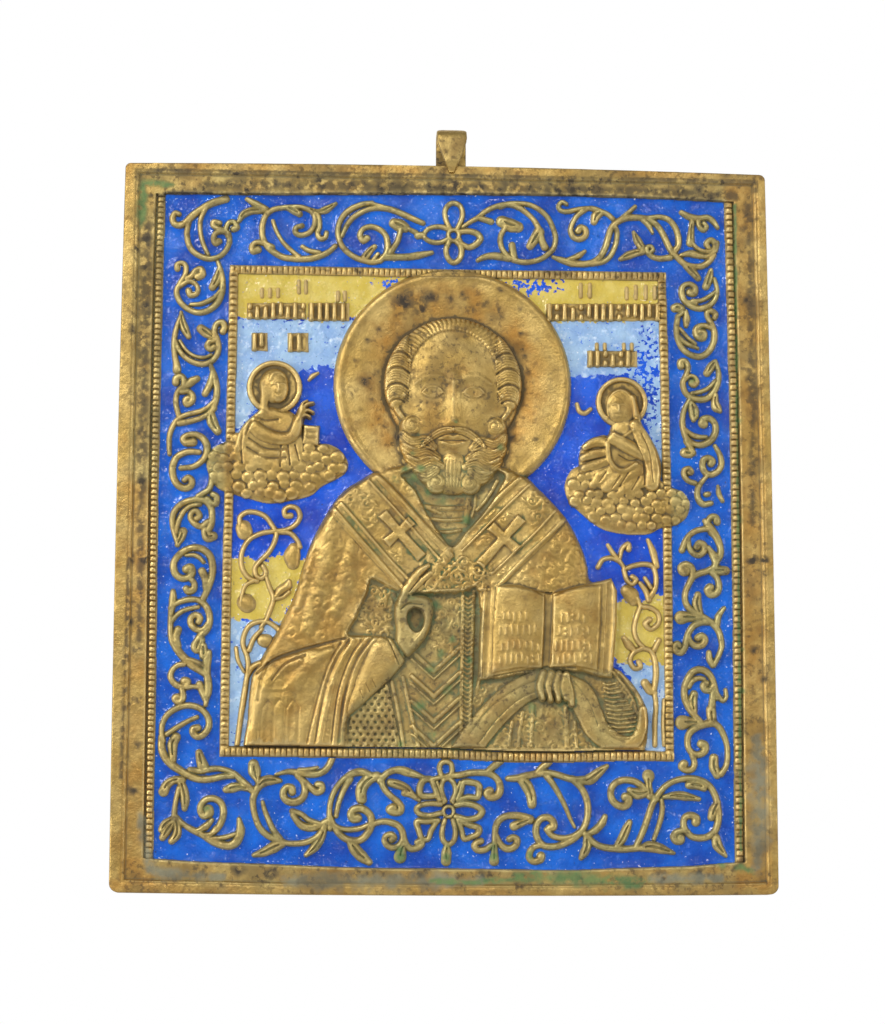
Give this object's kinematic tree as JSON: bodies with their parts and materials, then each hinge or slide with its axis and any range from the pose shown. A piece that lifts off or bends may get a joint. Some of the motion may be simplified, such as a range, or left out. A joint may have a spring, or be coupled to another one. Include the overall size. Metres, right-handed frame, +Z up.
{
  "type": "cast brass icon with enamel",
  "caption": "Flat cast brass devotional plaque with an enamelled vine border, a half-length blessing figure in low relief and a hanging loop on its top edge.",
  "frame": {"origin": "centre of the eye of the hanging loop, where a cord or nail carries the icon", "axes": "+Z up along the icon's height, +Y out of the flat back towards the wall, +X to the viewer's right as the face is looked at along +Y"},
  "size_m": [0.1001, 0.0052, 0.1184],
  "materials": {
    "brass": "cast, worn smooth on the high places, with dark patina in the hollows",
    "blue_enamel": "glossy opaque glass, slightly wavy, cobalt blue",
    "ground_enamel": "glossy opaque glass, cobalt blue, light blue and yellow areas with speckled edges"
  },
  "bodies": {
    "root": {"cast_icon": "brass", "hanging_loop": "brass", "border_enamel": "blue_enamel", "left_ground_enamel": "ground_enamel", "right_ground_enamel": "ground_enamel"}
  },
  "joints": []
}
